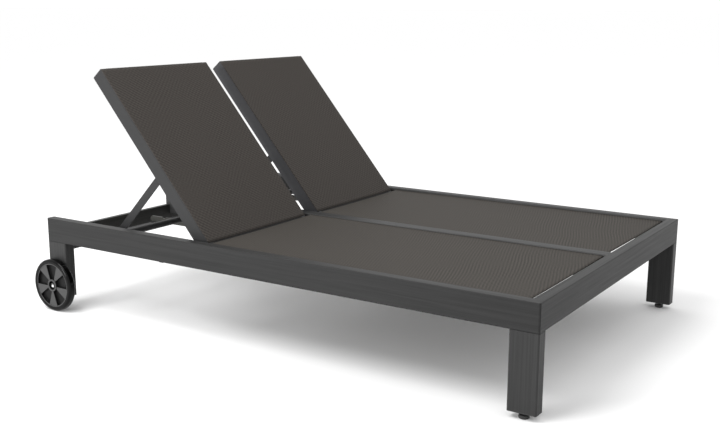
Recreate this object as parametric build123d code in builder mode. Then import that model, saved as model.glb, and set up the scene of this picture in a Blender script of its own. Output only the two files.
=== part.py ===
from build123d import *
from math import cos, radians, sin, sqrt
import os

os.makedirs("parts", exist_ok=True)

# A double chaise lounger of powder-coated aluminium tube with stretched mesh slings.
# X runs from the head end, on wheels, to the foot end, on legs. Y runs across and Z up.
# The origin is on the floor, in the middle of the overall box. Lengths are in millimetres.
# Near is the side at -Y and far the side at +Y.

# Overall frame
frame_length = 2000.0
frame_width = 1325.0
rail_top_height = 350.0

# Hollow rails
rail_width = 37.0
rail_depth = 89.0
rail_wall = 2.5
rail_edge_radius = 2.4
corner_radius = 6.0
centre_rail_width = 48.0
centre_rail_drop = 4.0
seat_recess = 8.0
head_rail_width = 20.0
head_rail_depth = 89.0
head_rail_drop = 50.0
head_rail_edge_radius = 1.5
cap_thickness = 3.0
cap_insert_length = 14.0

# Legs and their feet
leg_length = 92.0
leg_width = 46.0
leg_wall = 2.5
foot_leg_clearance = 20.0
head_leg_clearance = 53.0
foot_disc_diameter = 32.0
foot_disc_height = 12.0
foot_disc_edge = 2.0
foot_neck_diameter = 14.0

# Wheels
wheel_diameter = 200.0
wheel_width = 30.0
wheel_gap = 4.0
tyre_thickness = 16.0
tyre_shoulder_radius = 9.0
rim_ring_thickness = 4.0
rim_step = 1.5
web_start = 14.0
web_thickness = 4.0
spoke_count = 5
spoke_root_width = 7.0
spoke_tip_width = 44.0
spoke_recess = 2.5
hub_boss_diameter = 46.0
hub_recess_diameter = 34.0
hub_recess_depth = 13.0
axle_diameter = 12.0
axle_nut_size = 19.0
axle_nut_height = 6.0
axle_dome_height = 3.0

# Backrests
back_angle = 49.6
back_length = 756.0
back_outer_gap = 25.0
back_inner_gap = 20.5
back_tube_width = 22.0
back_tube_depth = 53.8
back_tube_wall = 2.0
back_groove_wall = 6.0
back_groove_width = 2.6
back_groove_inset = 1.4
back_cavity_start = 32.0
back_front_rise = 2.0
back_spline_diameter = 2.4
top_bar_width = 25.0
hinge_from_head = 735.7
hinge_bolt_diameter = 8.0
hinge_bolt_head_diameter = 14.0
hinge_bolt_head_height = 4.0
hinge_spacer_diameter = 18.0
hinge_thread_length = 12.0

# Slings of the seats
sling_thickness = 1.5
seat_rear_gap = 4.0
seat_foot_gap = 15.0
slot_height = 2.5
spline_diameter = 6.0
sling_tuck = 9.0

# Rear seat bars
seat_bar_width = 20.0
seat_bar_depth = 40.0
seat_bar_gap = 2.0

# Props
prop_pivot_distance = 314.7
prop_length = 360.1
prop_side_gap = 3.0
prop_arm_width = 28.0
prop_arm_thickness = 5.0
prop_boss_diameter = 34.0
prop_bar_diameter = 25.0
prop_bar_wall = 2.0
prop_bolt_diameter = 8.0
prop_bolt_head_diameter = 14.0
prop_bolt_head_height = 4.0

# Notched racks and the tubes that carry them
rack_thickness = 8.0
rack_height = 23.0
rack_top_drop = 60.2
rack_from_head = 85.0
rack_length = 490.0
rack_inner_offset = 124.0
rack_outer_offset = 165.0
rack_notch_pitch = 62.0
rack_notch_depth = 5.0
rack_notch_count = 5
rack_notches_below_rest = 2
rack_slope_start = 6.0
rack_slope_drop = 6.8
rack_slope_length = 145.0
rack_nose_radius = 10.5
rack_tube_size = 20.0
rack_tube_wall = 2.0
rack_head_tube_from_head = 100.0
rack_foot_tube_from_head = 540.0

# Clearances
running_clearance = 0.08
side_clearance = 0.6
slip_clearance = 0.2
cut_overrun = 1.0

# Places that follow from the sizes above
wheel_radius = wheel_diameter / 2
wheel_overhang = wheel_radius - leg_length / 2
head_x = (wheel_overhang - frame_length) / 2
foot_x = head_x + frame_length
half_width = frame_width / 2
rail_inner_y = half_width - rail_width
leg_inner_y = half_width - leg_width
centre_half = centre_rail_width / 2
rail_bottom_height = rail_top_height - rail_depth
centre_rail_depth = rail_depth - centre_rail_drop
head_rail_top = rail_top_height - head_rail_drop
seat_top_height = rail_top_height - seat_recess
bay_middle_y = (rail_inner_y + centre_half) / 2
back_inner_y = centre_half + back_inner_gap
back_outer_y = rail_inner_y - back_outer_gap
back_width = back_outer_y - back_inner_y
back_half = back_tube_depth / 2
back_front = back_half + sling_thickness
hinge_x = head_x + hinge_from_head
hinge_z = rail_top_height + back_front_rise - back_front
back_run = (-cos(radians(back_angle)), 0, sin(radians(back_angle)))
axle_x = head_x + leg_length / 2
wheel_inner_y = half_width + wheel_gap
prop_bar_radius = prop_bar_diameter / 2
pivot_x = hinge_x + prop_pivot_distance * back_run[0]
pivot_z = hinge_z + prop_pivot_distance * back_run[2]
rack_top = rail_top_height - rack_top_drop
bar_z = rack_top + side_clearance + prop_bar_radius
prop_drop = pivot_z - bar_z
bar_x = pivot_x - sqrt(prop_length**2 - prop_drop**2)
prop_run = ((bar_x - pivot_x) / prop_length, 0, -prop_drop / prop_length)
arm_inset = back_tube_width + prop_side_gap
arm_bands = {
    "inner": (back_inner_y + arm_inset, back_inner_y + arm_inset + prop_arm_thickness),
    "outer": (back_outer_y - arm_inset - prop_arm_thickness, back_outer_y - arm_inset),
}
tube_bands = {
    "inner": (back_inner_y, back_inner_y + back_tube_width),
    "outer": (back_outer_y - back_tube_width, back_outer_y),
}
back_gap_inner = tube_bands["inner"][1]
back_gap_outer = tube_bands["outer"][0]
seat_rear_x = hinge_x + back_front + seat_rear_gap
seat_foot_x = foot_x - rail_width - seat_foot_gap
seat_length = seat_foot_x - seat_rear_x
seat_middle_x = (seat_rear_x + seat_foot_x) / 2
slot_z = seat_top_height - sling_thickness / 2
spline_z = seat_top_height - sling_thickness - spline_diameter / 2
sides = {"near": -1, "far": 1}


def lengthwise(x, y, z):
    """A plane across a piece that runs along +X, with its sketch's y up."""
    return Plane(origin=(x, y, z), x_dir=(0, 1, 0), z_dir=(1, 0, 0))


def across(x, y, z):
    """A plane that extrudes towards +Y, with its sketch's x along +X."""
    return Plane(origin=(x, y, z), x_dir=(1, 0, 0), z_dir=(0, 1, 0))


def outboard(side, x, distance, z):
    """A plane that extrudes away from the middle, to the near or the far side."""
    return Plane(origin=(x, side * distance, z), x_dir=(1, 0, 0), z_dir=(0, side, 0))


def upright(x, y, z):
    """A plane seen from the near side, with its sketch's y up. It extrudes towards -Y."""
    return Plane(origin=(x, y, z), x_dir=(1, 0, 0), z_dir=(0, -1, 0))


def along_back(y):
    """A plane at the hinge, with x up the backrest and y out of its front. It extrudes to +Y."""
    return Plane(origin=(hinge_x, y, hinge_z), x_dir=back_run, z_dir=(0, 1, 0))


def along_prop(y):
    """A plane at the prop's pivot, with x down the prop. It extrudes towards +Y."""
    return Plane(origin=(pivot_x, y, pivot_z), x_dir=prop_run, z_dir=(0, 1, 0))


def low_y(side, inner, outer):
    """The lower Y of a piece that lies from inner to outer, both measured from the middle."""
    return inner if side > 0 else -outer


def finish(part, label):
    """Name a finished piece and write its file."""
    part.label = label
    export_step(part, f"parts/{label}.step")


def tube_profile(width, depth, wall, radius):
    """The section of a hollow tube with softened outer edges."""
    RectangleRounded(width, depth, radius)
    Rectangle(width - 2 * wall, depth - 2 * wall, mode=Mode.SUBTRACT)


def hex_profile(size, turn):
    """A hexagon with the given size across its flats."""
    RegularPolygon(size / 2, side_count=6, major_radius=False, rotation=turn)


def cut_slot(side, wall_inner):
    """Cut the slot that the edge of a seat sling passes through."""
    start = low_y(side, wall_inner - cut_overrun, wall_inner + rail_wall + cut_overrun)
    with BuildSketch(across(seat_middle_x, start, slot_z)) as slot:
        Rectangle(seat_length, slot_height)
    extrude(slot.sketch, amount=rail_wall + 2 * cut_overrun, mode=Mode.SUBTRACT)


def cut_hinge_hole(side, wall_inner):
    """Cut the hole that a hinge bolt is screwed into."""
    start = low_y(side, wall_inner - cut_overrun, wall_inner + rail_wall + cut_overrun)
    with BuildSketch(across(hinge_x, start, hinge_z)) as hole:
        Circle(hinge_bolt_diameter / 2 + running_clearance)
    extrude(hole.sketch, amount=rail_wall + 2 * cut_overrun, mode=Mode.SUBTRACT)


def round_corners():
    """Keep what lies inside the frame's outline, which has rounded corners."""
    with BuildSketch(Plane.XY.offset(rail_bottom_height)) as outline:
        with Locations((head_x + frame_length / 2, 0)):
            RectangleRounded(frame_length, frame_width, corner_radius)
    extrude(outline.sketch, amount=rail_depth, mode=Mode.INTERSECT)


# Side rails, mitred at the foot end, with a slot for the seat sling in the inner wall
rail_middle_z = rail_top_height - rail_depth / 2
for name, side in sides.items():
    mitre = Plane(origin=(foot_x, side * half_width, 0), x_dir=(0, 0, 1), z_dir=(1, -side, 0))
    with BuildPart() as side_rail:
        rail_y = side * (half_width - rail_width / 2)
        with BuildSketch(lengthwise(head_x + cap_thickness, rail_y, rail_middle_z)):
            tube_profile(rail_width, rail_depth, rail_wall, rail_edge_radius)
        extrude(amount=frame_length - cap_thickness)
        split(bisect_by=mitre, keep=Keep.BOTTOM)
        round_corners()
        cut_slot(side, rail_inner_y)
        cut_hinge_hole(side, rail_inner_y)
    finish(side_rail.part, f"side_rail_{name}")

# Foot rail, mitred at both ends
with BuildPart() as foot_rail:
    with BuildSketch(across(foot_x - rail_width / 2, -half_width, rail_middle_z)):
        tube_profile(rail_width, rail_depth, rail_wall, rail_edge_radius)
    extrude(amount=frame_width)
    for side in sides.values():
        mitre = Plane(origin=(foot_x, side * half_width, 0), x_dir=(0, 0, 1), z_dir=(1, -side, 0))
        split(bisect_by=mitre, keep=Keep.TOP)
    round_corners()
finish(foot_rail.part, "foot_rail")

# Centre rail, between the two seats, from the head end to the foot rail
centre_middle_z = rail_bottom_height + centre_rail_depth / 2
with BuildPart() as centre_rail:
    with BuildSketch(lengthwise(head_x + cap_thickness, 0, centre_middle_z)):
        tube_profile(centre_rail_width, centre_rail_depth, rail_wall, rail_edge_radius)
    extrude(amount=frame_length - cap_thickness - rail_width)
    with BuildSketch(across(head_x, -centre_rail_width, rail_bottom_height)):
        notch_height = head_rail_top - rail_bottom_height
        Rectangle(2 * head_rail_width, 2 * notch_height)
    extrude(amount=2 * centre_rail_width, mode=Mode.SUBTRACT)
    for side in sides.values():
        cut_slot(side, centre_half - rail_wall)
        cut_hinge_hole(side, centre_half - rail_wall)
finish(centre_rail.part, "centre_rail")

# Head rail, low between the head legs, with the end of the centre rail on top
with BuildPart() as head_rail:
    head_rail_z = head_rail_top - head_rail_depth / 2
    with BuildSketch(across(head_x + head_rail_width / 2, -leg_inner_y, head_rail_z)):
        tube_profile(head_rail_width, head_rail_depth, rail_wall, head_rail_edge_radius)
    extrude(amount=2 * leg_inner_y)
finish(head_rail.part, "head_rail")


def end_cap_profile(width, depth):
    """The section of the part of an end cap that goes into a rail."""
    Rectangle(width - 2 * rail_wall - 2 * slip_clearance, depth - 2 * rail_wall - 2 * slip_clearance)


# Caps on the head ends of the rails
with BuildPart() as side_rail_caps:
    for side in sides.values():
        rail_y = side * (half_width - rail_width / 2)
        with BuildSketch(lengthwise(head_x, rail_y, rail_middle_z)):
            RectangleRounded(rail_width, rail_depth, rail_edge_radius)
        extrude(amount=cap_thickness)
        with BuildSketch(lengthwise(head_x + cap_thickness, rail_y, rail_middle_z)):
            end_cap_profile(rail_width, rail_depth)
        extrude(amount=cap_insert_length)
    round_corners()
finish(side_rail_caps.part, "side_rail_caps")

centre_end_depth = head_rail_drop - centre_rail_drop
centre_end_z = head_rail_top + centre_end_depth / 2
with BuildPart() as centre_rail_cap:
    with BuildSketch(lengthwise(head_x, 0, centre_end_z)):
        RectangleRounded(centre_rail_width, centre_end_depth, rail_edge_radius)
    extrude(amount=cap_thickness)
    with BuildSketch(lengthwise(head_x + cap_thickness, 0, centre_end_z)):
        end_cap_profile(centre_rail_width, centre_end_depth)
    extrude(amount=cap_insert_length)
finish(centre_rail_cap.part, "centre_rail_cap")

# Legs under the corners, flush with the outer faces of the rails
legs = {
    "foot_leg": (foot_x - leg_length / 2, foot_leg_clearance),
    "head_leg": (axle_x, head_leg_clearance),
}
for leg_name, (leg_x, leg_clearance) in legs.items():
    for name, side in sides.items():
        leg_y = side * (half_width - leg_width / 2)
        with BuildPart() as leg:
            with BuildSketch(Plane.XY.offset(leg_clearance + cap_thickness)):
                with Locations((leg_x, leg_y)):
                    tube_profile(leg_length, leg_width, leg_wall, corner_radius)
            extrude(amount=rail_bottom_height - leg_clearance - cap_thickness)
            if leg_name == "head_leg":
                with BuildSketch(outboard(side, axle_x, leg_inner_y - cut_overrun, wheel_radius)):
                    Circle(axle_diameter / 2 + running_clearance)
                extrude(amount=leg_width + 2 * cut_overrun, mode=Mode.SUBTRACT)
        finish(leg.part, f"{leg_name}_{name}")


def leg_plug(leg_x, leg_y, clearance):
    """A plug that closes the bottom of a leg."""
    with BuildSketch(Plane.XY.offset(clearance)) as plate:
        with Locations((leg_x, leg_y)):
            RectangleRounded(leg_length, leg_width, corner_radius)
    extrude(plate.sketch, amount=cap_thickness)
    with BuildSketch(Plane.XY.offset(clearance + cap_thickness)) as insert:
        with Locations((leg_x, leg_y)):
            inset = 2 * leg_wall + 2 * slip_clearance
            Rectangle(leg_length - inset, leg_width - inset)
    extrude(insert.sketch, amount=cap_insert_length)


# Plugs in the legs, those of the foot legs with a round foot below
for name, side in sides.items():
    leg_y = side * (half_width - leg_width / 2)
    with BuildPart() as head_leg_plug:
        leg_plug(axle_x, leg_y, head_leg_clearance)
    finish(head_leg_plug.part, f"head_leg_plug_{name}")

    foot_leg_x = foot_x - leg_length / 2
    with BuildPart() as foot_glide:
        with BuildSketch(Plane.XY):
            with Locations((foot_leg_x, leg_y)):
                Circle(foot_disc_diameter / 2)
        extrude(amount=foot_disc_height)
        rims = foot_glide.edges().filter_by(GeomType.CIRCLE)
        chamfer(rims, foot_disc_edge)
        with BuildSketch(Plane.XY.offset(foot_disc_height)):
            with Locations((foot_leg_x, leg_y)):
                Circle(foot_neck_diameter / 2)
        extrude(amount=foot_leg_clearance - foot_disc_height)
        leg_plug(foot_leg_x, leg_y, foot_leg_clearance)
    finish(foot_glide.part, f"foot_glide_{name}")

# Wheels outside the head legs
tyre_inner_radius = wheel_radius - tyre_thickness
rim_inner_radius = tyre_inner_radius - rim_ring_thickness
hub_boss_radius = hub_boss_diameter / 2
hub_bore_radius = axle_diameter / 2 + running_clearance
for name, side in sides.items():
    with BuildPart() as tyre:
        with BuildSketch(outboard(side, axle_x, wheel_inner_y, wheel_radius)):
            Circle(wheel_radius)
            Circle(tyre_inner_radius, mode=Mode.SUBTRACT)
        extrude(amount=wheel_width)
        rims = tyre.edges().filter_by(GeomType.CIRCLE)
        fillet(rims.group_by(SortBy.RADIUS)[-1], tyre_shoulder_radius)
    finish(tyre.part, f"tyre_{name}")

    with BuildPart() as wheel:
        with BuildSketch(outboard(side, axle_x, wheel_inner_y + rim_step, wheel_radius)):
            Circle(tyre_inner_radius)
            Circle(rim_inner_radius, mode=Mode.SUBTRACT)
        extrude(amount=wheel_width - 2 * rim_step)
        with BuildSketch(outboard(side, axle_x, wheel_inner_y + web_start, wheel_radius)):
            Circle(rim_inner_radius)
        extrude(amount=web_thickness)
        spoke_start = web_start + web_thickness
        with BuildSketch(outboard(side, axle_x, wheel_inner_y + spoke_start, wheel_radius)):
            with PolarLocations(0, spoke_count, start_angle=side * 90):
                Polygon(
                    (0, -spoke_root_width / 2),
                    (hub_boss_radius, -spoke_root_width / 2),
                    (rim_inner_radius, -spoke_tip_width / 2),
                    (rim_inner_radius, spoke_tip_width / 2),
                    (hub_boss_radius, spoke_root_width / 2),
                    (0, spoke_root_width / 2),
                    align=None,
                )
            Circle(rim_inner_radius, mode=Mode.INTERSECT)
        extrude(amount=wheel_width - spoke_start - spoke_recess)
        with BuildSketch(outboard(side, axle_x, wheel_inner_y, wheel_radius)):
            Circle(hub_boss_radius)
        extrude(amount=wheel_width)
        with BuildSketch(outboard(side, axle_x, wheel_inner_y - cut_overrun, wheel_radius)):
            Circle(hub_bore_radius)
        extrude(amount=wheel_width + 2 * cut_overrun, mode=Mode.SUBTRACT)
        recess_y = wheel_inner_y + wheel_width - hub_recess_depth
        with BuildSketch(outboard(side, axle_x, recess_y, wheel_radius)):
            Circle(hub_recess_diameter / 2)
        extrude(amount=hub_recess_depth + cut_overrun, mode=Mode.SUBTRACT)
    finish(wheel.part, f"wheel_{name}")

    nut_y = wheel_inner_y + wheel_width - hub_recess_depth + side_clearance
    with BuildPart() as axle:
        with BuildSketch(outboard(side, axle_x, leg_inner_y - axle_nut_height, wheel_radius)):
            hex_profile(axle_nut_size, 0)
        extrude(amount=axle_nut_height)
        with BuildSketch(outboard(side, axle_x, leg_inner_y, wheel_radius)):
            Circle(axle_diameter / 2)
        extrude(amount=nut_y + axle_nut_height / 2 - leg_inner_y)
    finish(axle.part, f"axle_{name}")

# Domed nuts on the outer ends of the axles
with BuildPart() as axle_nuts:
    for side in sides.values():
        nut_y = wheel_inner_y + wheel_width - hub_recess_depth + side_clearance
        with BuildSketch(outboard(side, axle_x, nut_y, wheel_radius)):
            hex_profile(axle_nut_size, 0)
        extrude(amount=axle_nut_height)
        with BuildSketch(outboard(side, axle_x, nut_y + axle_nut_height, wheel_radius)):
            Circle(axle_nut_size / 2)
        extrude(amount=axle_dome_height, taper=30)
        with BuildSketch(outboard(side, axle_x, nut_y, wheel_radius)):
            Circle(axle_diameter / 2)
        extrude(amount=axle_nut_height / 2, mode=Mode.SUBTRACT)
finish(axle_nuts.part, "axle_nuts")

# Seat slings, their edges tucked through the slots of the rails
for name, side in sides.items():
    with BuildPart() as seat_sling:
        sling_inner = centre_half - sling_tuck
        sling_outer = rail_inner_y + sling_tuck
        start = low_y(side, sling_inner, sling_outer)
        with BuildSketch(across(seat_middle_x, start, slot_z)):
            Rectangle(seat_length, sling_thickness)
        extrude(amount=sling_outer - sling_inner)
    finish(seat_sling.part, f"seat_sling_{name}")

# Splines under the tucked edges, inside the rails
with BuildPart() as seat_splines:
    for side in sides.values():
        for edge_y in (
            rail_inner_y + rail_wall + spline_diameter / 2,
            centre_half - rail_wall - spline_diameter / 2,
        ):
            with BuildSketch(lengthwise(seat_rear_x, side * edge_y, spline_z)):
                Circle(spline_diameter / 2)
            extrude(amount=seat_length)
finish(seat_splines.part, "seat_splines")

# A cross tube under the rear edge of each seat
seat_bar_z = seat_top_height - sling_thickness - seat_bar_gap - seat_bar_depth / 2
for name, side in sides.items():
    with BuildPart() as seat_bar:
        start = low_y(side, centre_half, rail_inner_y)
        with BuildSketch(across(seat_rear_x + seat_bar_width / 2, start, seat_bar_z)):
            tube_profile(seat_bar_width, seat_bar_depth, rack_tube_wall, rack_tube_wall)
        extrude(amount=rail_inner_y - centre_half)
    finish(seat_bar.part, f"seat_bar_{name}")

# Notched racks that the props' bars rest on
rack_head_x = head_x + rack_from_head
rack_foot_x = rack_head_x + rack_length
slope_head_x = bar_x + rack_slope_start
slope_foot_x = slope_head_x + rack_slope_length
notch_radius = prop_bar_radius + side_clearance
rack_places = {"inner": -rack_inner_offset, "outer": rack_outer_offset}
for name, side in sides.items():
    for place, shift in rack_places.items():
        start = side * (bay_middle_y + shift) + rack_thickness / 2
        with BuildPart() as rack:
            with BuildSketch(upright(0, start, rack_top)) as rack_sketch:
                with BuildLine():
                    Polyline(
                        (rack_head_x, -rack_height),
                        (rack_head_x, 0),
                        (slope_head_x, 0),
                        (slope_foot_x, -rack_slope_drop),
                        (rack_foot_x, -rack_slope_drop),
                        (rack_foot_x, -rack_height),
                        close=True,
                    )
                make_face()
                fillet(rack_sketch.vertices().group_by(Axis.X)[0], rack_nose_radius)
                for step in range(rack_notch_count):
                    notch_x = bar_x + (step - rack_notches_below_rest) * rack_notch_pitch
                    slope_run = max(notch_x - slope_head_x, 0)
                    notch_drop = slope_run * rack_slope_drop / rack_slope_length
                    with Locations((notch_x, notch_radius - rack_notch_depth - notch_drop)):
                        Circle(notch_radius, mode=Mode.SUBTRACT)
            extrude(amount=rack_thickness)
        finish(rack.part, f"rack_{name}_{place}")

# Cross tubes below the ends of the racks
rack_tubes = {"head": rack_head_tube_from_head, "foot": rack_foot_tube_from_head}
rack_tube_z = rack_top - rack_height - rack_tube_size / 2
for name, side in sides.items():
    for place, distance in rack_tubes.items():
        with BuildPart() as rack_tube:
            start = low_y(side, centre_half, rail_inner_y)
            tube_x = head_x + distance + rack_tube_size / 2
            with BuildSketch(across(tube_x, start, rack_tube_z)):
                tube_profile(rack_tube_size, rack_tube_size, rack_tube_wall, rack_tube_wall)
            extrude(amount=rail_inner_y - centre_half)
        finish(rack_tube.part, f"rack_tube_{name}_{place}")

# Spacers between the rails and the backrests, on the hinge bolts
hinge_ends = ((rail_inner_y, -1, back_outer_gap), (centre_half, 1, back_inner_gap))
with BuildPart() as hinge_spacers:
    for side in sides.values():
        for wall_y, step, gap in hinge_ends:
            start = side * wall_y
            away = side * step
            spacer_plane = Plane(origin=(hinge_x, start, hinge_z), x_dir=(1, 0, 0), z_dir=(0, away, 0))
            with BuildSketch(spacer_plane):
                Circle(hinge_spacer_diameter / 2)
                Circle(hinge_bolt_diameter / 2 + running_clearance, mode=Mode.SUBTRACT)
            extrude(amount=gap - side_clearance)
finish(hinge_spacers.part, "hinge_spacers")

# Hinge bolts, put in from between the side tubes of each backrest
with BuildPart() as hinge_bolts:
    for side in sides.values():
        for wall_y, step, gap in hinge_ends:
            shank_length = hinge_thread_length + gap + back_tube_width + side_clearance
            start = side * (wall_y - step * hinge_thread_length)
            away = side * step
            bolt_plane = Plane(origin=(hinge_x, start, hinge_z), x_dir=(1, 0, 0), z_dir=(0, away, 0))
            with BuildSketch(bolt_plane):
                Circle(hinge_bolt_diameter / 2)
            extrude(amount=shank_length)
            with BuildSketch(bolt_plane.offset(shank_length)):
                Circle(hinge_bolt_head_diameter / 2)
            extrude(amount=hinge_bolt_head_height)
finish(hinge_bolts.part, "hinge_bolts")

# Backrests
tube_length = back_length - cap_thickness
cavity_depth = back_tube_depth - back_tube_wall - back_groove_wall
cavity_middle = (back_tube_wall - back_groove_wall) / 2
groove_length = tube_length - 2 * back_cavity_start
groove_middle = back_half - back_groove_inset - back_groove_width / 2
top_bar_x = tube_length - top_bar_width / 2
for name, side in sides.items():
    for edge, (inner, outer) in tube_bands.items():
        start = low_y(side, inner, outer)
        groove_y = inner if edge == "inner" else outer - back_groove_width
        with BuildPart() as back_tube:
            with BuildSketch(along_back(start)):
                Circle(back_half)
                with Locations((tube_length / 2, 0)):
                    Rectangle(tube_length, back_tube_depth)
                Circle(hinge_bolt_diameter / 2 + running_clearance, mode=Mode.SUBTRACT)
            extrude(amount=back_tube_width)
            cavity_y = low_y(side, inner + back_tube_wall, outer - back_tube_wall)
            with BuildSketch(along_back(cavity_y)):
                with Locations(((back_cavity_start + tube_length) / 2, cavity_middle)):
                    Rectangle(tube_length - back_cavity_start, cavity_depth)
            extrude(amount=back_tube_width - 2 * back_tube_wall, mode=Mode.SUBTRACT)
            with BuildSketch(along_back(low_y(side, groove_y, groove_y + back_groove_width))):
                with Locations((tube_length / 2, groove_middle)):
                    Rectangle(groove_length, back_groove_width)
            extrude(amount=back_groove_width, mode=Mode.SUBTRACT)
            hole_inner = inner + back_tube_wall if edge == "inner" else inner
            hole_depth = back_tube_width - back_tube_wall
            with BuildSketch(along_back(low_y(side, hole_inner, hole_inner + hole_depth))):
                with Locations((prop_pivot_distance, 0)):
                    Circle(prop_bolt_diameter / 2)
            extrude(amount=hole_depth, mode=Mode.SUBTRACT)
        finish(back_tube.part, f"back_tube_{name}_{edge}")

    gap_start = low_y(side, back_gap_inner, back_gap_outer)
    gap_width = back_gap_outer - back_gap_inner
    with BuildPart() as back_top_bar:
        with BuildSketch(along_back(gap_start)):
            with Locations((top_bar_x, 0)):
                tube_profile(top_bar_width, back_tube_depth, back_tube_wall, back_tube_wall)
        extrude(amount=gap_width)
    finish(back_top_bar.part, f"back_top_bar_{name}")

    with BuildPart() as back_bottom_bar:
        with BuildSketch(along_back(gap_start)):
            Circle(back_half)
            Circle(back_half - back_tube_wall, mode=Mode.SUBTRACT)
        extrude(amount=gap_width)
    finish(back_bottom_bar.part, f"back_bottom_bar_{name}")

    with BuildPart() as back_sling:
        with BuildSketch(along_back(low_y(side, back_inner_y, back_outer_y))):
            with Locations((tube_length / 2, back_half + sling_thickness / 2)):
                Rectangle(tube_length, sling_thickness)
        extrude(amount=back_width)
        with BuildSketch(along_back(gap_start)):
            with Locations((tube_length + sling_thickness / 2, sling_thickness / 2)):
                Rectangle(sling_thickness, back_tube_depth + sling_thickness)
        extrude(amount=gap_width)
    finish(back_sling.part, f"back_sling_{name}")

    with BuildPart() as back_splines:
        spline_edges = (
            back_inner_y + back_groove_width / 2,
            back_outer_y - back_groove_width / 2,
        )
        for edge_y in spline_edges:
            spline_plane = along_back(side * edge_y)
            groove_start = spline_plane.from_local_coords((back_cavity_start, groove_middle, 0))
            with BuildSketch(Plane(origin=groove_start, x_dir=(0, 1, 0), z_dir=back_run)):
                Circle(back_spline_diameter / 2)
            extrude(amount=groove_length)
    finish(back_splines.part, f"back_splines_{name}")

    with BuildPart() as back_tube_caps:
        for inner, outer in tube_bands.values():
            with BuildSketch(along_back(low_y(side, inner, outer))) as cap_sketch:
                with Locations((tube_length + cap_thickness / 2, 0)):
                    Rectangle(cap_thickness, back_tube_depth)
                chamfer(cap_sketch.vertices().group_by(Axis.X)[-1], cap_thickness - slip_clearance)
            extrude(amount=back_tube_width)
    finish(back_tube_caps.part, f"back_tube_caps_{name}")

    # The prop of this backrest, two flat arms with a round bar between their lower ends
    for edge, (inner, outer) in arm_bands.items():
        with BuildPart() as prop_arm:
            with BuildSketch(along_prop(low_y(side, inner, outer))):
                with Locations((prop_length / 2, 0)):
                    Rectangle(prop_length, prop_arm_width)
                with Locations((0, 0), (prop_length, 0)):
                    Circle(prop_boss_diameter / 2)
                Circle(prop_bolt_diameter / 2 + running_clearance, mode=Mode.SUBTRACT)
            extrude(amount=prop_arm_thickness)
        finish(prop_arm.part, f"prop_arm_{name}_{edge}")

    bar_inner = arm_bands["inner"][1]
    bar_outer = arm_bands["outer"][0]
    with BuildPart() as prop_bar:
        with BuildSketch(along_prop(low_y(side, bar_inner, bar_outer))):
            with Locations((prop_length, 0)):
                Circle(prop_bar_radius)
                Circle(prop_bar_radius - prop_bar_wall, mode=Mode.SUBTRACT)
        extrude(amount=bar_outer - bar_inner)
    finish(prop_bar.part, f"prop_bar_{name}")

    # Bolts that the arms turn on, screwed through the side tubes of the backrest
    with BuildPart() as prop_bolts:
        bolt_shank = arm_inset + prop_arm_thickness + side_clearance - back_tube_wall
        for face_y, step in ((back_inner_y, 1), (back_outer_y, -1)):
            bolt_start = side * (face_y + step * back_tube_wall)
            bolt_plane = Plane(
                origin=(pivot_x, bolt_start, pivot_z), x_dir=(1, 0, 0), z_dir=(0, side * step, 0)
            )
            with BuildSketch(bolt_plane):
                Circle(prop_bolt_diameter / 2)
            extrude(amount=bolt_shank)
            with BuildSketch(bolt_plane.offset(bolt_shank)):
                Circle(prop_bolt_head_diameter / 2)
            extrude(amount=prop_bolt_head_height)
    finish(prop_bolts.part, f"prop_bolts_{name}")
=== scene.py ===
from math import cos, pi, radians, sin

import bpy
from mathutils import Matrix, Vector


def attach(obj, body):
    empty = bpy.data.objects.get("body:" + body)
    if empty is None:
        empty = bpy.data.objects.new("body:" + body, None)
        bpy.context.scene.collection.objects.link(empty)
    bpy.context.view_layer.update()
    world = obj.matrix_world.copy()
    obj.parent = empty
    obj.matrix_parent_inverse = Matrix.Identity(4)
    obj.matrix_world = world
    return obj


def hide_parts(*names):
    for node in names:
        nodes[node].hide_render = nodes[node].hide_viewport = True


# The double chaise lounger as photographed. Lengths are in metres, in the CAD's frame.
# The finishes go on the CAD's own pieces, and four cloths take the place of its flat slings.
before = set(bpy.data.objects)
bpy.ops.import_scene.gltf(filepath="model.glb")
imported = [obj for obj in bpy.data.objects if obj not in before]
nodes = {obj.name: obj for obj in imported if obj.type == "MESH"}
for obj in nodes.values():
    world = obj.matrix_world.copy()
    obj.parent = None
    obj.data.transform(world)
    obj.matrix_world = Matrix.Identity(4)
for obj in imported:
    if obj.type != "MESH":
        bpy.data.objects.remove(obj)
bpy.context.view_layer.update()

NEAR, FAR = -1, 1
SIDES = {"near": NEAR, "far": FAR}

# Sizes and places shared with the CAD, in metres
SEAT_TOP = 0.342
RAIL_INNER = 0.6255
CENTRE_HALF = 0.024
BACK_INNER = 0.0445
BACK_OUTER = 0.6005
BACK_TUBE = 0.022
BACK_HALF = 0.0269
BACK_TOP = 0.753
BACK_ANGLE = radians(49.6)
HINGE_X = -0.2373
HINGE_Z = 0.3236
SEAT_REAR = HINGE_X + 0.0324
SEAT_FOOT = 0.975
SPOKE_FRONT = 0.6940
AXLE_X, AXLE_Z = -0.927, 0.1

# Sizes of the cloth
CLOTH = 0.0012
SLOT_TUCK = 0.008
CLOTH_DIP = 0.0022
CLOTH_LIFT = 0.00005
THREAD_PAIR = 0.0021


# --- Materials

def new_material(name):
    mat = bpy.data.materials.new(name)
    mat.use_nodes = True
    tree = mat.node_tree
    tree.nodes.clear()
    out = tree.nodes.new("ShaderNodeOutputMaterial")
    shader = tree.nodes.new("ShaderNodeBsdfPrincipled")
    tree.links.new(shader.outputs["BSDF"], out.inputs["Surface"])
    return mat, tree, shader


def node(tree, kind, **values):
    made = tree.nodes.new(kind)
    for key, value in values.items():
        if key in made.inputs:
            made.inputs[key].default_value = value
        else:
            setattr(made, key, value)
    return made


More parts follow.
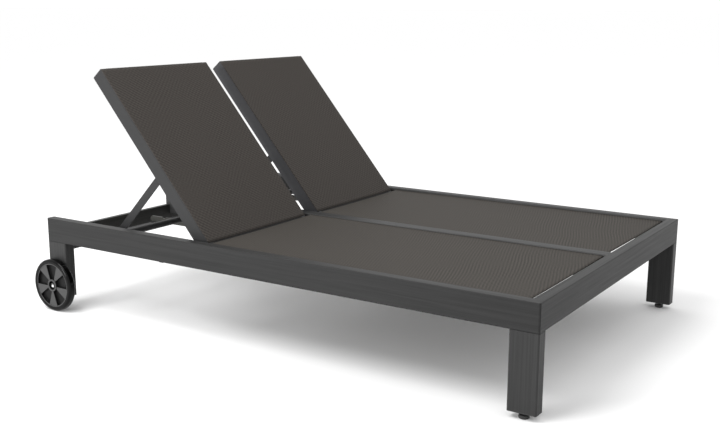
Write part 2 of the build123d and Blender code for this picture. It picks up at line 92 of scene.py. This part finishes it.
def math(tree, operation, a, b=None):
    made = tree.nodes.new("ShaderNodeMath")
    made.operation = operation
    for i, value in enumerate((a, b)):
        if value is None:
            continue
        if isinstance(value, (int, float)):
            made.inputs[i].default_value = value
        else:
            tree.links.new(value, made.inputs[i])
    return made.outputs[0]


def stretched_noise(tree, coords, scale, detail=4.0, rough=0.6):
    """Noise on coordinates that are scaled differently along each axis."""
    mapping = node(tree, "ShaderNodeMapping")
    mapping.inputs["Scale"].default_value = scale
    tree.links.new(coords, mapping.inputs["Vector"])
    noise = node(tree, "ShaderNodeTexNoise", Scale=1.0, Detail=detail, Roughness=rough)
    tree.links.new(mapping.outputs[0], noise.inputs["Vector"])
    return noise.outputs["Fac"]


def ramp(tree, value, low, high, dark, light):
    made = tree.nodes.new("ShaderNodeMapRange")
    made.inputs["From Min"].default_value = low
    made.inputs["From Max"].default_value = high
    made.inputs["To Min"].default_value = dark
    made.inputs["To Max"].default_value = light
    tree.links.new(value, made.inputs["Value"])
    return made.outputs[0]


def tinted(tree, factor, colour):
    """The colour multiplied by a factor near one."""
    mix = tree.nodes.new("ShaderNodeVectorMath")
    mix.operation = "SCALE"
    mix.inputs[0].default_value = colour
    tree.links.new(factor, mix.inputs["Scale"])
    return mix.outputs[0]


def soften_edges(tree, shader, height=None, strength=0.2, distance=0.0005, radius=0.0012):
    """Rounded edges in the shading, with an optional bump."""
    bevel = node(tree, "ShaderNodeBevel", samples=4)
    bevel.inputs["Radius"].default_value = radius
    if height is not None:
        bump = node(tree, "ShaderNodeBump", Strength=strength, Distance=distance)
        tree.links.new(height, bump.inputs["Height"])
        tree.links.new(bevel.outputs[0], bump.inputs["Normal"])
        tree.links.new(bump.outputs[0], shader.inputs["Normal"])
    else:
        tree.links.new(bevel.outputs[0], shader.inputs["Normal"])


def painted_light_on_walls(tree, coords):
    """Painted light: a colour factor above one on shaded walls, standing in for light that comes back from the
    slings and the floor, and one elsewhere.

    It is 3.5 on the narrow walls above the edges of the seat slings, and 2 on the centre rail's
    walls at the head end, so these shaded walls are painted lighter.
    """
    split = tree.nodes.new("ShaderNodeSeparateXYZ")
    tree.links.new(coords, split.inputs[0])
    above = math(tree, "GREATER_THAN", split.outputs["Z"], SEAT_TOP - 0.001)
    off_middle = math(tree, "ABSOLUTE", split.outputs["Y"])
    side_wall = math(tree, "MULTIPLY", math(tree, "LESS_THAN", off_middle, RAIL_INNER + 0.0006),
                     math(tree, "GREATER_THAN", off_middle, 0.1))
    centre_wall = math(tree, "MULTIPLY", math(tree, "LESS_THAN", off_middle, 0.1),
                       math(tree, "GREATER_THAN", off_middle, CENTRE_HALF - 0.0006))
    walls = math(tree, "MULTIPLY", above, math(tree, "ADD", side_wall, centre_wall))
    head_end = math(tree, "MULTIPLY", centre_wall, math(tree, "LESS_THAN", split.outputs["X"], HINGE_X))
    below = math(tree, "SUBTRACT", 1.0, above)
    lift = math(tree, "ADD", math(tree, "MULTIPLY", walls, 2.5), math(tree, "MULTIPLY", head_end, below))
    return math(tree, "ADD", lift, 1.0)


def grained_metal(name, grain, colour, contrast=0.34):
    """Powder coat with a printed wood grain that runs along one axis, and painted light on the inner walls when the
    grain runs along X.
    """
    mat, tree, shader = new_material(name)
    coords = tree.nodes.new("ShaderNodeTexCoord").outputs["Object"]
    fine_scale = tuple(5.0 if axis == grain else 260.0 for axis in "XYZ")
    wide_scale = tuple(1.6 if axis == grain else 110.0 for axis in "XYZ")
    fine = stretched_noise(tree, coords, fine_scale, 3.0, 0.55)
    wide = stretched_noise(tree, coords, wide_scale, 4.0, 0.6)
    both = math(tree, "ADD", math(tree, "MULTIPLY", fine, 0.45), math(tree, "MULTIPLY", wide, 0.55))
    factor = ramp(tree, both, 0.3, 0.7, 1.0 - contrast, 1.0 + contrast)
    # Painted light: rails grained along X get a lighter colour on their shaded inner walls
    if grain == "X":
        factor = math(tree, "MULTIPLY", factor, painted_light_on_walls(tree, coords))
    tree.links.new(tinted(tree, factor, colour), shader.inputs["Base Color"])
    rough = ramp(tree, both, 0.3, 0.7, 0.55, 0.42)
    tree.links.new(rough, shader.inputs["Roughness"])
    shader.inputs["Specular IOR Level"].default_value = 0.2
    soften_edges(tree, shader, both, 0.2, 0.0003, 0.0005)
    return mat


def plain_metal(name, colour, rough=0.45):
    """Plain powder coat with a fine texture."""
    mat, tree, shader = new_material(name)
    coords = tree.nodes.new("ShaderNodeTexCoord").outputs["Object"]
    fine = stretched_noise(tree, coords, (900.0, 900.0, 900.0), 2.0)
    cloudy = stretched_noise(tree, coords, (9.0, 9.0, 9.0), 3.0)
    both = math(tree, "ADD", math(tree, "MULTIPLY", fine, 0.5), math(tree, "MULTIPLY", cloudy, 0.5))
    factor = ramp(tree, both, 0.3, 0.7, 0.9, 1.1)
    tree.links.new(tinted(tree, factor, colour), shader.inputs["Base Color"])
    shader.inputs["Roughness"].default_value = rough
    shader.inputs["Specular IOR Level"].default_value = 0.2
    soften_edges(tree, shader, fine, 0.12, 0.0002)
    return mat


def plastic(name, colour, rough=0.5, spec=0.4):
    mat, tree, shader = new_material(name)
    coords = tree.nodes.new("ShaderNodeTexCoord").outputs["Object"]
    fine = stretched_noise(tree, coords, (1500.0, 1500.0, 1500.0), 2.0)
    factor = ramp(tree, fine, 0.3, 0.7, 0.9, 1.1)
    tree.links.new(tinted(tree, factor, colour), shader.inputs["Base Color"])
    shader.inputs["Roughness"].default_value = rough
    shader.inputs["Specular IOR Level"].default_value = spec
    soften_edges(tree, shader, fine, 0.1, 0.0002)
    return mat


def steel(name):
    mat, tree, shader = new_material(name)
    coords = tree.nodes.new("ShaderNodeTexCoord").outputs["Object"]
    brushed = stretched_noise(tree, coords, (2500.0, 60.0, 2500.0), 2.0)
    factor = ramp(tree, brushed, 0.3, 0.7, 0.85, 1.1)
    tree.links.new(tinted(tree, factor, (0.5, 0.5, 0.5)), shader.inputs["Base Color"])
    shader.inputs["Metallic"].default_value = 1.0
    shader.inputs["Roughness"].default_value = 0.3
    soften_edges(tree, shader, brushed, 0.1, 0.0001)
    return mat


def nut_steel(name):
    """Dull steel with a painted highlight: a bright spot on the dome, set a little low on the nut."""
    mat, tree, shader = new_material(name)
    coords = tree.nodes.new("ShaderNodeTexCoord").outputs["Object"]
    split = tree.nodes.new("ShaderNodeSeparateXYZ")
    tree.links.new(coords, split.inputs[0])
    highlight_x, highlight_z = AXLE_X + 0.0015, AXLE_Z - 0.0035
    along = math(tree, "SUBTRACT", split.outputs["X"], highlight_x)
    up = math(tree, "SUBTRACT", split.outputs["Z"], highlight_z)
    squares = math(tree, "ADD", math(tree, "MULTIPLY", along, along), math(tree, "MULTIPLY", up, up))
    # Painted highlight: a bright spot on the dome, and the rest of the nut dull
    painted_highlight = ramp(tree, math(tree, "SQRT", squares), 0.0055, 0.0065, 1.0, 0.12)
    tree.links.new(tinted(tree, painted_highlight, (0.75, 0.75, 0.75)), shader.inputs["Base Color"])
    shader.inputs["Metallic"].default_value = 1.0
    shader.inputs["Roughness"].default_value = 0.3
    soften_edges(tree, shader)
    return mat


def wheel_plastic(name, light, dark):
    """Light grey front faces on the spokes, the rim and the hub, and painted shade: a dark web behind them."""
    mat, tree, shader = new_material(name)
    coords = tree.nodes.new("ShaderNodeTexCoord").outputs["Object"]
    split = tree.nodes.new("ShaderNodeSeparateXYZ")
    tree.links.new(coords, split.inputs[0])
    depth = math(tree, "ABSOLUTE", split.outputs["Y"])
    front = math(tree, "GREATER_THAN", depth, SPOKE_FRONT - 0.0006)
    fine = stretched_noise(tree, coords, (700.0, 700.0, 700.0), 3.0)
    factor = ramp(tree, fine, 0.3, 0.7, 0.9, 1.1)
    # Painted shade: the recessed web gets a darker colour than the front faces of the same plastic
    mix = node(tree, "ShaderNodeMix", data_type="RGBA")
    tree.links.new(front, mix.inputs["Factor"])
    mix.inputs[6].default_value = (*dark, 1.0)
    mix.inputs[7].default_value = (*light, 1.0)
    scale = tree.nodes.new("ShaderNodeVectorMath")
    scale.operation = "SCALE"
    tree.links.new(mix.outputs[2], scale.inputs[0])
    tree.links.new(factor, scale.inputs["Scale"])
    tree.links.new(scale.outputs[0], shader.inputs["Base Color"])
    shader.inputs["Roughness"].default_value = 0.38
    tree.links.new(ramp(tree, front, 0.0, 1.0, 0.12, 0.3), shader.inputs["Specular IOR Level"])
    soften_edges(tree, shader, fine, 0.1, 0.0002)
    return mat


def slanted_lines(tree, u, v, coords, slope, period, seed):
    """Soft, slightly wavy lines across the cloth that come and go. The period is measured along u."""
    mapping = node(tree, "ShaderNodeMapping")
    mapping.inputs["Location"].default_value = (seed, seed, 0.0)
    tree.links.new(coords, mapping.inputs["Vector"])
    wave = stretched_noise(tree, mapping.outputs[0], (4.0, 4.0, 1.0), 1.0, 0.5)
    patches = stretched_noise(tree, mapping.outputs[0], (9.0, 7.0, 1.0), 2.0, 0.5)
    across = math(tree, "ADD", u, math(tree, "MULTIPLY", v, slope))
    phase = math(tree, "ADD", math(tree, "MULTIPLY", across, 2 * pi / period), math(tree, "MULTIPLY", wave, 12.0))
    return math(tree, "MULTIPLY", math(tree, "SINE", phase), ramp(tree, patches, 0.38, 0.62, 0.25, 1.0))


def mesh_cloth(name, colour, relief, slope, period, fade, lean):
    """Woven mesh: a fine weave, soft slanted lines and small slubs.

    The lines grow over the lengths in fade, and lean makes those that rise stronger, or below zero those that fall.
    """
    mat, tree, shader = new_material(name)
    coords = tree.nodes.new("ShaderNodeUVMap").outputs["UV"]
    split = tree.nodes.new("ShaderNodeSeparateXYZ")
    tree.links.new(coords, split.inputs[0])
    u, v = split.outputs["X"], split.outputs["Y"]
    turns = 2 * pi / THREAD_PAIR
    weave = math(tree, "MULTIPLY", math(tree, "SINE", math(tree, "MULTIPLY", u, turns)),
                 math(tree, "SINE", math(tree, "MULTIPLY", v, turns)))
    rising = slanted_lines(tree, u, v, coords, slope, period, 0.0)
    falling = slanted_lines(tree, u, v, coords, -slope, period, 7.0)
    crossed = math(tree, "ADD", math(tree, "MULTIPLY", rising, 1.0 + lean),
                   math(tree, "MULTIPLY", falling, 1.0 - lean))
    lines = math(tree, "MULTIPLY", crossed, ramp(tree, v, *fade, 0.4 * relief, relief))
    slub = stretched_noise(tree, coords, (170.0, 170.0, 1.0), 2.0, 0.6)
    cloudy = stretched_noise(tree, coords, (3.0, 2.0, 1.0), 2.0, 0.5)
    total = math(tree, "ADD", math(tree, "MULTIPLY", weave, 0.05), 1.0)
    total = math(tree, "ADD", total, lines)
    total = math(tree, "ADD", total, ramp(tree, slub, 0.3, 0.7, -0.15, 0.15))
    total = math(tree, "ADD", total, ramp(tree, cloudy, 0.3, 0.7, -0.02, 0.02))
    tree.links.new(tinted(tree, total, colour), shader.inputs["Base Color"])
    shader.inputs["Roughness"].default_value = 0.75
    shader.inputs["Specular IOR Level"].default_value = 0.15
    bump = node(tree, "ShaderNodeBump", Strength=0.06, Distance=0.0004)
    tree.links.new(weave, bump.inputs["Height"])
    tree.links.new(bump.outputs[0], shader.inputs["Normal"])
    return mat


rail_x = grained_metal("grain along X", "X", (0.0158, 0.0158, 0.0158))
# Painted shade: the foot rail gets a darker copy of the same grained coat
foot_rail_painted_shade = grained_metal("grain along Y", "Y", (0.0104, 0.0104, 0.0104), 0.22)
# Painted light: the head rail gets a lighter copy of the same grained coat, for its shaded inner face
head_rail_painted_light = grained_metal("head rail", "Y", (0.0236, 0.0236, 0.0222))
# Painted light: the legs get a lighter copy of the same grained coat
legs_painted_light = grained_metal("grain along Z", "Z", (0.0238, 0.0238, 0.0238))
plain = plain_metal("powder coat", (0.023, 0.023, 0.0235))
# Painted light: the backrests' inner tubes get a lighter copy of the plain coat, where they stand in the shade
# between the backrests
inner_tube_painted_light = plain_metal("inner tube", (0.038, 0.038, 0.0405))
# Painted light: the racks get a lighter copy of the plain coat, as if lit from the near side
rack_painted_light = plain_metal("rack metal", (0.046, 0.046, 0.042))
# Painted shade: the backrests' bottom bars are near black to show the shaded gap at the foot of each backrest
bottom_bar_painted_shade = plain_metal("bottom bar painted shade", (0.008, 0.008, 0.008), 0.6)
dark_plastic = plastic("dark plastic", (0.018, 0.018, 0.018))
tyre_rubber = plastic("tyre rubber", (0.001, 0.001, 0.001), 0.16, 0.14)
bolt_steel = steel("bolt steel")
nut_metal = nut_steel("nut steel")
# The second colour is painted shade on the wheel's recessed web
wheel_mat = wheel_plastic("wheel plastic", (0.038, 0.038, 0.038), (0.006, 0.006, 0.006))
seat_mesh = mesh_cloth("seat mesh", (0.0405, 0.0362, 0.0315), 0.34, 2.9, 0.031, (0.1, 0.8), 0.0)
back_mesh = mesh_cloth("back mesh", (0.0375, 0.0328, 0.0292), 0.19, 1.22, 0.0195, (-0.3, -0.1), -0.35)

finishes = {
    "side_rail": rail_x, "centre_rail": rail_x, "foot_rail": foot_rail_painted_shade, "head_rail": head_rail_painted_light,
    "back_tube_near_inner": inner_tube_painted_light, "back_tube_far_inner": inner_tube_painted_light,
    "rack_near": rack_painted_light, "rack_far": rack_painted_light, "foot_leg": legs_painted_light, "head_leg": legs_painted_light,
    "back_bottom_bar": bottom_bar_painted_shade,
    "side_rail_caps": dark_plastic, "centre_rail_cap": dark_plastic, "head_leg_plug": dark_plastic,
    "foot_glide": dark_plastic, "seat_splines": dark_plastic, "hinge_spacers": dark_plastic,
    "back_splines": dark_plastic, "back_tube_caps": plain,
    "axle": bolt_steel, "axle_nuts": nut_metal, "hinge_bolts": bolt_steel, "prop_bolts": bolt_steel,
    "tyre": tyre_rubber, "wheel": wheel_mat,
    "seat_sling": seat_mesh, "back_sling": back_mesh,
}
# The longest start of its name that is listed picks a piece's finish, and the rest is plain
for name, obj in nodes.items():
    finish = plain
    longest = 0
    for start, mat in finishes.items():
        if name.startswith(start) and len(start) > longest:
            finish, longest = mat, len(start)
    obj.data.materials.clear()
    obj.data.materials.append(finish)


# --- Cloth

def add_mesh(name, verts, faces, uvs, material, body):
    """A mesh with one UV per vertex, riding on a body."""
    mesh = bpy.data.meshes.new(name)
    mesh.from_pydata(verts, [], faces)
    layer = mesh.uv_layers.new(name="weave")
    for loop in mesh.loops:
        layer.data[loop.index].uv = uvs[loop.vertex_index]
    mesh.polygons.foreach_set("use_smooth", [True] * len(mesh.polygons))
    mesh.update()
    obj = bpy.data.objects.new(name, mesh)
    bpy.context.scene.collection.objects.link(obj)
    obj.data.materials.append(material)
    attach(obj, body)
    return obj


def slab(grid, uv_grid, normals, thickness):
    """Verts, faces and UVs of a closed slab: the grid is its face and the other side lies inwards."""
    rows, cols = len(grid), len(grid[0])
    verts, uvs, faces = [], [], []
    for layer in (0, 1):
        for i in range(rows):
            for j in range(cols):
                verts.append(grid[i][j] - normals[i][j] * thickness * layer)
                uvs.append(uv_grid[i][j])
    count = rows * cols
    for i in range(rows - 1):
        for j in range(cols - 1):
            a, b, c, d = i * cols + j, i * cols + j + 1, (i + 1) * cols + j + 1, (i + 1) * cols + j
            faces.append((a, b, c, d))
            faces.append((count + d, count + c, count + b, count + a))
    ring = list(range(cols))
    ring += [i * cols + cols - 1 for i in range(1, rows)]
    ring += [(rows - 1) * cols + j for j in range(cols - 2, -1, -1)]
    ring += [i * cols for i in range(rows - 2, 0, -1)]
    for a, b in zip(ring, ring[1:] + ring[:1]):
        faces.append((b, a, count + a, count + b))
    return verts, faces, uvs


def seat_cloth(name, side):
    """The seat sling: taut between the rails, with a slight dip."""
    inner, outer = CENTRE_HALF - SLOT_TUCK, RAIL_INNER + SLOT_TUCK
    rows, cols = 90, 60
    grid, uvs, normals = [], [], []
    for i in range(rows + 1):
        s = i / rows
        x = SEAT_REAR + s * (SEAT_FOOT - SEAT_REAR)
        row, uv_row, n_row = [], [], []
        for j in range(cols + 1):
            t = j / cols
            y = inner + t * (outer - inner)
            free = max(0.0, min(1.0, (y - CENTRE_HALF) / (RAIL_INNER - CENTRE_HALF)))
            dip = CLOTH_DIP * (4 * free * (1 - free)) ** 0.8
            row.append(Vector((x, side * y, SEAT_TOP - 0.0001 - dip)))
            uv_row.append((y, x))
            n_row.append(Vector((0, 0, 1)))
        grid.append(row)
        uvs.append(uv_row)
        normals.append(n_row)
    verts, faces, flat_uvs = slab(grid, uvs, normals, CLOTH)
    if side < 0:
        faces = [tuple(reversed(f)) for f in faces]
    obj = add_mesh(f"seat_cloth_{name}", verts, faces, flat_uvs, seat_mesh, "frame")
    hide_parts(f"seat_sling_{name}")
    return obj


def back_point(along, out, y):
    """A point of a backrest at rest: along it from the hinge, out of its front, and across."""
    return Vector((
        HINGE_X - cos(BACK_ANGLE) * along + sin(BACK_ANGLE) * out,
        y,
        HINGE_Z + sin(BACK_ANGLE) * along + cos(BACK_ANGLE) * out,
    ))


def back_way(along, out, across):
    """The same as a direction."""
    return back_point(along, out, across) - back_point(0, 0, 0)


def fold_path(edge, sign):
    """Points and outward directions, across and out of the front, where the cloth folds round a tube's edge."""
    path = []
    for step in range(5):
        turn = radians(90 * step / 4)
        away, up = sin(turn), cos(turn)
        path.append((edge + sign * CLOTH * away, BACK_HALF + CLOTH_LIFT + CLOTH * up, sign * away, up))
    path.append((edge + sign * CLOTH, BACK_HALF - 0.0008, sign, 0.0))
    path.append((edge + sign * CLOTH * 0.7, BACK_HALF - 0.0016, sign * 0.7, -0.7))
    return path


def back_cloth(name, side):
    """The back sling: taut over the side tubes, folded round their edges and over the top bar."""
    front = BACK_HALF + CLOTH_LIFT + CLOTH
    inner_fold = fold_path(BACK_INNER, -1.0)[::-1]
    outer_fold = fold_path(BACK_OUTER, 1.0)
    cols = 44
    middle = []
    for j in range(1, cols):
        y = BACK_INNER + (BACK_OUTER - BACK_INNER) * j / cols
        middle.append((y, front, 0.0, 1.0))
    section = inner_fold + middle + outer_fold
    lengths = [0.0]
    for a, b in zip(section, section[1:]):
        lengths.append(lengths[-1] + ((b[0] - a[0]) ** 2 + (b[1] - a[1]) ** 2) ** 0.5)
    free_inner, free_outer = BACK_INNER + BACK_TUBE, BACK_OUTER - BACK_TUBE
    rows = 60
    grid, uvs, normals = [], [], []
    for i in range(rows + 1):
        along = BACK_TOP * i / rows
        row, uv_row, n_row = [], [], []
        for (y, out, n_y, n_out), run in zip(section, lengths):
            free = max(0.0, min(1.0, (y - free_inner) / (free_outer - free_inner)))
            dip = CLOTH_DIP * (4 * free * (1 - free)) ** 0.8 * max(0.0, sin(pi * along / BACK_TOP)) ** 0.5
            row.append(back_point(along, out - dip, side * y))
            uv_row.append((-side * run, along))
            n_row.append(back_way(0, n_out, side * n_y))
        grid.append(row)
        uvs.append(uv_row)
        normals.append(n_row)
    verts, faces, flat_uvs = slab(grid, uvs, normals, CLOTH)

    # The wrap over the top bar, between the side tubes
    top_path = [(BACK_TOP, front, 0.0, 1.0)]
    for step in range(1, 7):
        turn = radians(90 * step / 6)
        top_path.append((
            BACK_TOP + CLOTH_LIFT + CLOTH * sin(turn), BACK_HALF + CLOTH * cos(turn), sin(turn), cos(turn),
        ))
    for step in range(1, 7):
        top_path.append((BACK_TOP + CLOTH_LIFT + CLOTH, BACK_HALF - 2 * BACK_HALF * step / 6, 1.0, 0.0))
    wrap_grid, wrap_uvs, wrap_normals = [], [], []
    run = BACK_TOP
    last = top_path[0]
    for along, out, n_along, n_out in top_path:
        run += ((along - last[0]) ** 2 + (out - last[1]) ** 2) ** 0.5
        last = (along, out)
        row, uv_row, n_row = [], [], []
        for j in range(25):
            y = free_inner + (free_outer - free_inner) * j / 24
            row.append(back_point(along, out, side * y))
            uv_row.append((-side * (y - BACK_INNER), run))
            n_row.append(back_way(n_along, n_out, 0))
        wrap_grid.append(row)
        wrap_uvs.append(uv_row)
        wrap_normals.append(n_row)
    more_verts, more_faces, more_uvs = slab(wrap_grid, wrap_uvs, wrap_normals, CLOTH)
    shift = len(verts)
    verts += more_verts
    flat_uvs += more_uvs
    faces += [tuple(v + shift for v in f) for f in more_faces]
    if side > 0:
        faces = [tuple(reversed(f)) for f in faces]
    obj = add_mesh(f"back_cloth_{name}", verts, faces, flat_uvs, back_mesh, f"backrest_{name}")
    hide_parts(f"back_sling_{name}")
    return obj


for name, side in SIDES.items():
    seat_cloth(name, side)
    back_cloth(name, side)


# --- Camera, floor and light

camera_data = bpy.data.cameras.new("camera")
camera = bpy.data.objects.new("camera", camera_data)
bpy.context.scene.collection.objects.link(camera)
camera_data.lens = 49.703
camera_data.sensor_width = 36.0
yaw, pitch, roll = radians(-32.986), radians(11.950), radians(0.212)
look = Vector((sin(yaw) * cos(pitch), cos(yaw) * cos(pitch), -sin(pitch)))
facing = look.to_track_quat("-Z", "Y").to_matrix().to_4x4()
camera.matrix_world = Matrix.Translation((2.02477, -3.10348, 1.13668)) @ facing @ Matrix.Rotation(roll, 4, "Z")
bpy.context.scene.camera = camera


def stage_plane(name, size, location, material):
    mesh = bpy.data.meshes.new(name)
    h = size / 2
    mesh.from_pydata([(-h, -h, 0), (h, -h, 0), (h, h, 0), (-h, h, 0)], [], [(0, 1, 2, 3)])
    obj = bpy.data.objects.new(name, mesh)
    bpy.context.scene.collection.objects.link(obj)
    obj.location = location
    mesh.materials.append(material)
    return obj


floor_mat, floor_tree, floor_shader = new_material("floor")
floor_shader.inputs["Base Color"].default_value = (0.86, 0.86, 0.86, 1.0)
floor_shader.inputs["Roughness"].default_value = 0.9
floor_shader.inputs["Specular IOR Level"].default_value = 0.0
stage_plane("floor", 900.0, (0, 0, 0), floor_mat)

world = bpy.data.worlds.new("studio")
bpy.context.scene.world = world
world.use_nodes = True
sky = world.node_tree
sky_way = sky.nodes.new("ShaderNodeTexCoord").outputs["Generated"]
sky_split = sky.nodes.new("ShaderNodeSeparateXYZ")
sky.links.new(sky_way, sky_split.inputs[0])
sky_level = ramp(sky, sky_split.outputs["Z"], 0.1, 0.8, 1.2, 1.15)
sky.links.new(sky_level, sky.nodes["Background"].inputs["Strength"])
sky.nodes["Background"].inputs["Color"].default_value = (1, 1, 1, 1)


def area_light(name, location, target, size, power):
    data = bpy.data.lights.new(name, "AREA")
    data.shape = "RECTANGLE"
    data.size, data.size_y = size
    data.energy = power
    obj = bpy.data.objects.new(name, data)
    bpy.context.scene.collection.objects.link(obj)
    obj.matrix_world = Matrix.Translation(location) @ (
        (Vector(target) - Vector(location)).to_track_quat("-Z", "Y").to_matrix().to_4x4()
    )
    return obj


area_light("front softbox", (-0.8, -2.7, 4.0), (-0.3, -0.3, 0.2), (2.4, 2.4), 125.0)
area_light("low softbox", (-1.6, -4.6, 1.2), (0, 0, 0.2), (1.5, 1.0), 100.0)

bpy.context.scene.view_settings.view_transform = "Standard"
